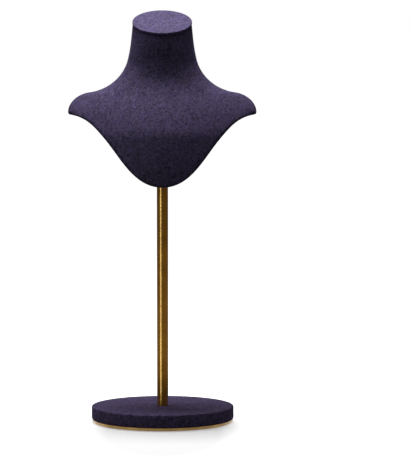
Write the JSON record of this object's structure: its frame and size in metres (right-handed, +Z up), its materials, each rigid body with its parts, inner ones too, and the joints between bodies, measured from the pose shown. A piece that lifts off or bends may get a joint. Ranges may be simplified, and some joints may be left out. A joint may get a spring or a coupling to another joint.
{
  "type": "necklace stand",
  "caption": "Free-standing necklace stand: a cloth-covered neck and shoulders form on a brass pole, on a round cloth-covered base with a brass plate.",
  "frame": {"origin": "middle of the underside of the round base, where the stand rests", "axes": "+Z up along the pole, +X to the right as seen from the front, the front of the chest faces -Y"},
  "size_m": [0.228, 0.1714, 0.4959],
  "materials": {
    "core_foam": "rigid moulded polyurethane, matte",
    "bust_cloth": "dark indigo microfibre suede with a short mottled nap",
    "cap_cloth": "dark indigo microfibre suede, nap lying towards the front",
    "panel_cloth": "dark indigo microfibre suede",
    "base_cloth": "dark indigo microfibre suede, folded over the disc's edge",
    "fibreboard": "raw medium-density fibreboard",
    "pole_brass": "antique brushed brass, satin",
    "plate_brass": "antique brushed brass, satin edge",
    "insert_brass": "plain turned brass",
    "zinc_steel": "zinc plated",
    "pad_foam": "thin closed-cell non-slip sheet"
  },
  "bodies": {
    "root": {"bust_core": "core_foam", "bust_cover": "bust_cloth", "neck_cap_board": "fibreboard", "neck_cap_cover": "cap_cloth", "back_panel_board": "fibreboard", "back_panel_cover": "panel_cloth", "bust_insert": "insert_brass", "top_stud": "zinc_steel", "pole_top_plug": "zinc_steel", "pole": "pole_brass", "pole_bottom_plug": "zinc_steel", "base_board": "fibreboard", "base_cover": "base_cloth", "base_plate": "plate_brass", "base_screw": "zinc_steel", "base_pad": "pad_foam"}
  },
  "joints": []
}
